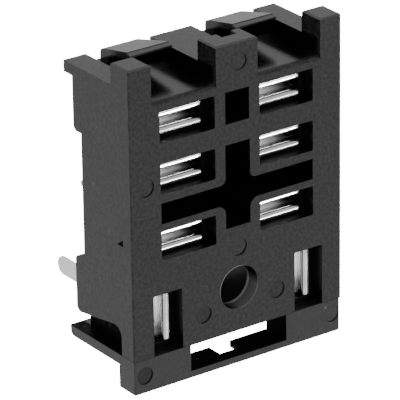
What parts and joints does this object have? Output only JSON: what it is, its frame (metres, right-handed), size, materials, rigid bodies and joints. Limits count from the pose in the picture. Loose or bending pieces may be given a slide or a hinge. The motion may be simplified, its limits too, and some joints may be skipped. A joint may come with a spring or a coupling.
{
  "type": "relay socket",
  "caption": "Black moulded plug-in socket for a flat-blade power relay, with sprung tinned contacts, solder tails at the back, snap tongues on top and a screw hole.",
  "frame": {"origin": "middle of the screw hole, in the plane of the front face", "axes": "front face towards -Y, contact tails towards +Y, posts and snap tongues towards +Z, +X to the right as seen from the front"},
  "size_m": [0.0408, 0.0296, 0.055],
  "materials": {
    "moulding": "satin black thermoplastic with a fine moulded grain",
    "tinned_contact": "bright tin plating over brass strip"
  },
  "bodies": {
    "root": {"socket_body": "moulding", "contact_top_left": "tinned_contact", "contact_top_right": "tinned_contact", "contact_middle_left": "tinned_contact", "contact_middle_right": "tinned_contact", "contact_lower_left": "tinned_contact", "contact_lower_right": "tinned_contact", "coil_contact_left": "tinned_contact", "coil_contact_right": "tinned_contact"}
  },
  "joints": []
}
